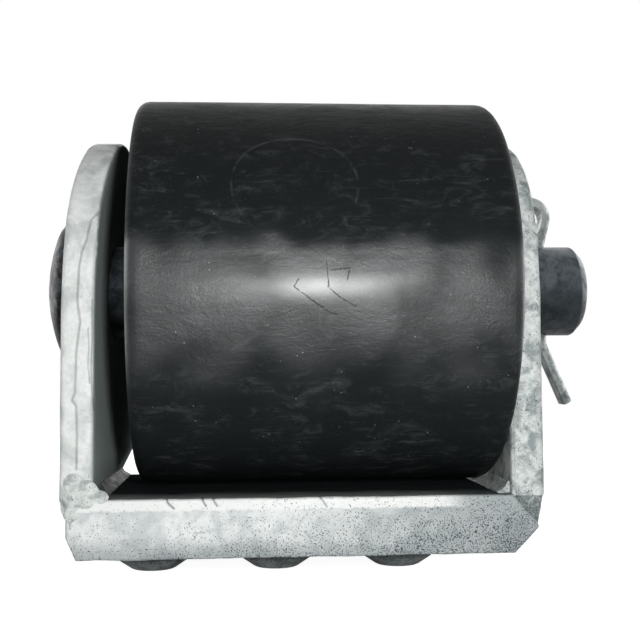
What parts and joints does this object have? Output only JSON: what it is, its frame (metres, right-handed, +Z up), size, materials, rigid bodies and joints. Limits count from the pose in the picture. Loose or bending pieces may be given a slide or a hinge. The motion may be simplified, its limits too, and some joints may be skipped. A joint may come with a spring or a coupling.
{
  "type": "buffer roller",
  "caption": "Black rubber buffer roller on a headed clevis pin with a split pin, between the cheeks of a welded galvanised steel bracket with threaded bosses under its base.",
  "frame": {"origin": "centre of the middle threaded boss's face, in the plane that the bracket is bolted against", "axes": "+X along the pin from its head to its free end, +Y backwards, +Z up from the bosses to the roller"},
  "size_m": [0.1411, 0.1, 0.122],
  "materials": {
    "galvanised_steel": "hot-dip zinc, matt, mottled light grey",
    "pin_steel": "worn zinc-plated bar, semi-gloss",
    "split_pin_steel": "dull zinc-plated wire",
    "core_steel": "plain drawn tube",
    "rubber": "moulded black rubber, scuffed, low sheen"
  },
  "bodies": {
    "bracket": {"base_plate": "galvanised_steel", "left_cheek": "galvanised_steel", "right_cheek": "galvanised_steel", "left_corner_weld": "galvanised_steel", "right_corner_weld": "galvanised_steel", "left_inner_weld": "galvanised_steel", "right_inner_weld": "galvanised_steel", "boss_welds": "galvanised_steel", "threaded_boss_1": "galvanised_steel", "threaded_boss_2": "galvanised_steel", "threaded_boss_3": "galvanised_steel"},
    "pin": {"clevis_pin": "pin_steel", "split_pin": "split_pin_steel"},
    "roller": {"rubber_roller": "rubber", "roller_core": "core_steel"}
  },
  "joints": [
    {"name": "pin_turn", "type": "hinge", "parent": "bracket", "child": "pin", "pos_m": [0.0058, 0, 0.072], "axis": [1, 0, 0], "continuous": true},
    {"name": "roller_spin", "type": "hinge", "parent": "pin", "child": "roller", "pos_m": [0.0098, 0, 0.072], "axis": [1, 0, 0], "continuous": true}
  ]
}
